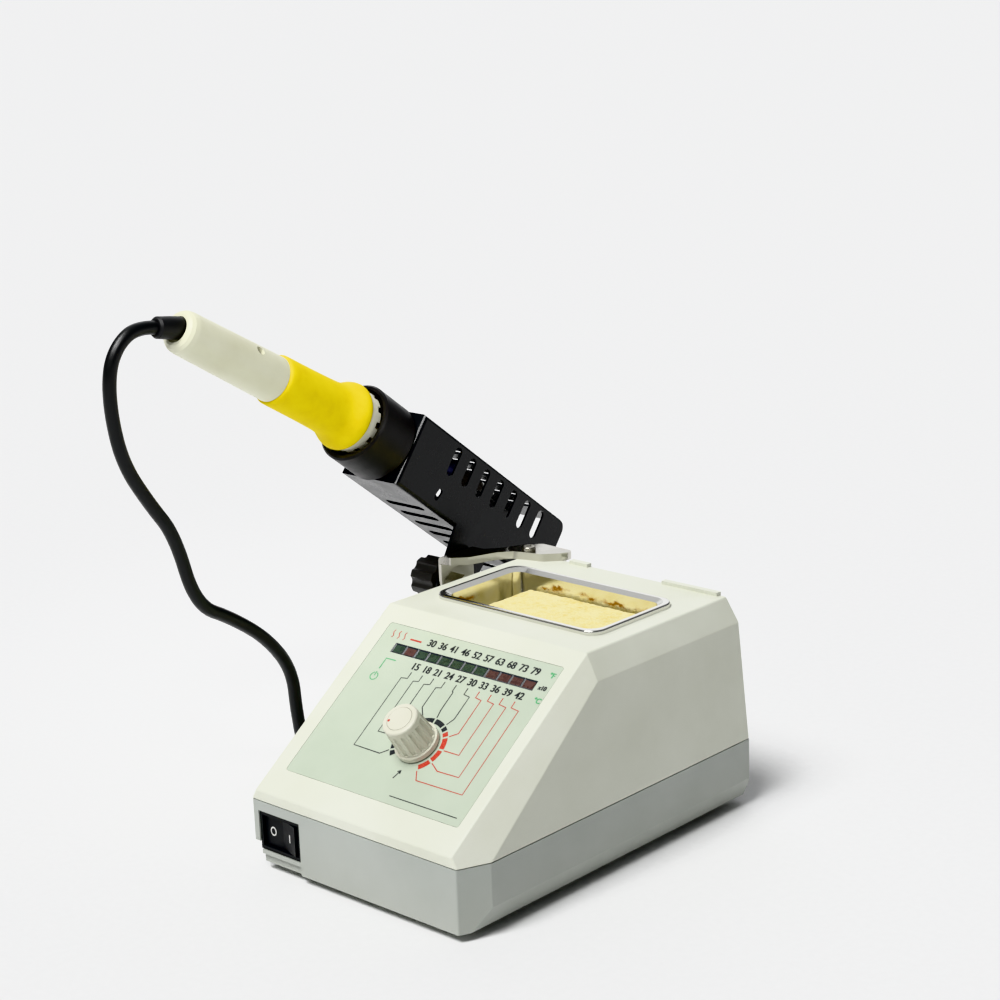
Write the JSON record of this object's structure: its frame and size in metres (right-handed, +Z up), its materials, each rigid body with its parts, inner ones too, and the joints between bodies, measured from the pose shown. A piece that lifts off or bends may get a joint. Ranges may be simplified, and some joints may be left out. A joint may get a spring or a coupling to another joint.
{
  "type": "soldering iron station",
  "caption": "Soldering iron station: moulded case with sloping panel, sponge tray in its top, and an iron in a tilting slotted holder on a side bracket.",
  "frame": {"origin": "centre of the station's footprint without its cord, on the table under its feet", "axes": "+X to the station's right, +Y to its rear, +Z up; the panel and switch face -Y"},
  "size_m": [0.1612, 0.2683, 0.2045],
  "materials": {
    "case_plastic": "moulded, fine texture",
    "foot_rubber": "moulded",
    "screw_steel": "zinc plated",
    "plated_steel": "bright plated",
    "label_film": "printed film",
    "window_acrylic": "tinted, polished",
    "light_epoxy": "diffusing",
    "board_laminate": "coated laminate",
    "component_body": "moulded",
    "sink_aluminium": "extruded, plain",
    "control_body": "die cast",
    "knob_plastic": "moulded, satin",
    "switch_plastic": "moulded, satin",
    "contact_brass": "tinned",
    "core_steel": "varnished laminations",
    "winding_tape": "wrapped tape",
    "bush_rubber": "moulded",
    "tray_steel": "pressed, polished",
    "sponge_cellulose": "open cell",
    "clamp_plastic": "moulded, satin",
    "guard_enamel": "gloss black enamel",
    "collar_phenolic": "moulded phenolic",
    "handle_plastic": "moulded, satin",
    "grip_foam": "soft foamed skin",
    "ring_plastic": "moulded",
    "barrel_steel": "drawn tube, heat tinted",
    "heater_ceramic": "fired, plain",
    "tip_plating": "iron plated",
    "cord_jacket": "smooth silicone",
    "tie_strap": "moulded strap"
  },
  "bodies": {
    "base": {"lower_shell": "case_plastic", "upper_shell": "case_plastic", "rubber_feet": "foot_rubber", "case_screws": "screw_steel", "front_label": "label_film", "light_window": "window_acrylic", "level_lights": "light_epoxy", "control_board": "board_laminate", "board_screws": "screw_steel", "board_parts": "component_body", "heat_sink": "sink_aluminium", "dial_control": "control_body", "dial_nut": "plated_steel", "switch_frame": "switch_plastic", "switch_blades": "contact_brass", "transformer_core": "core_steel", "transformer_winding": "winding_tape", "transformer_strap": "plated_steel", "transformer_bed": "case_plastic", "transformer_screws": "screw_steel", "iron_cord_bush": "bush_rubber", "mains_bush": "bush_rubber", "bracket": "plated_steel", "bracket_screw": "screw_steel", "bracket_nut": "plated_steel", "iron_cord_lower": "cord_jacket", "iron_cord_coil": "cord_jacket", "iron_cord_tail": "cord_jacket", "cord_tie": "tie_strap"},
    "dial": {"dial_shaft": "control_body", "dial_knob": "knob_plastic", "dial_cap": "knob_plastic"},
    "rocker": {"power_rocker": "switch_plastic"},
    "tray": {"sponge_tray": "tray_steel"},
    "pad": {"sponge": "sponge_cellulose"},
    "holder": {"guard": "guard_enamel", "holder_collar": "collar_phenolic", "collar_screws": "screw_steel"},
    "clamp": {"clamp_knob": "clamp_plastic", "clamp_stud": "plated_steel"},
    "iron": {"iron_handle": "handle_plastic", "handle_screw": "screw_steel", "cord_clamp": "handle_plastic", "foam_grip": "grip_foam", "front_ring": "ring_plastic", "front_screws": "screw_steel", "barrel": "barrel_steel", "heater": "heater_ceramic", "tip": "tip_plating", "tip_screw": "screw_steel", "strain_relief": "bush_rubber", "iron_cord_upper": "cord_jacket"}
  },
  "joints": [
    {"name": "temperature_dial", "type": "hinge", "parent": "base", "child": "dial", "pos_m": [0.0296, -0.069, 0.05301], "axis": [0, -0.5864, 0.81], "range_deg": [-264, 0]},
    {"name": "power_switch", "type": "hinge", "parent": "base", "child": "rocker", "pos_m": [-0.015, -0.0959, 0.0156], "axis": [0, 0, 1], "range_deg": [0, 14]},
    {"name": "tray_lift", "type": "slide", "parent": "base", "child": "tray", "axis": [0, 0, 1], "range_m": [0, 0.06]},
    {"name": "sponge_lift", "type": "slide", "parent": "tray", "child": "pad", "axis": [0, 0, 1], "range_m": [0, 0.03]},
    {"name": "holder_tilt", "type": "hinge", "parent": "base", "child": "holder", "pos_m": [-0.0475, 0.0325, 0.074], "axis": [1, 0, 0], "range_deg": [-15, 20], "deforming": ["iron_cord_upper", "iron_cord_lower"]},
    {"name": "clamp_turn", "type": "hinge", "parent": "base", "child": "clamp", "pos_m": [-0.0475, 0.0325, 0.074], "axis": [1, 0, 0], "range_deg": [-360, 0]},
    {"name": "iron_lift", "type": "slide", "parent": "holder", "child": "iron", "axis": [0, -0.8599, 0.5105], "range_m": [0, 0.12], "deforming": ["iron_cord_upper", "iron_cord_lower"]}
  ]
}
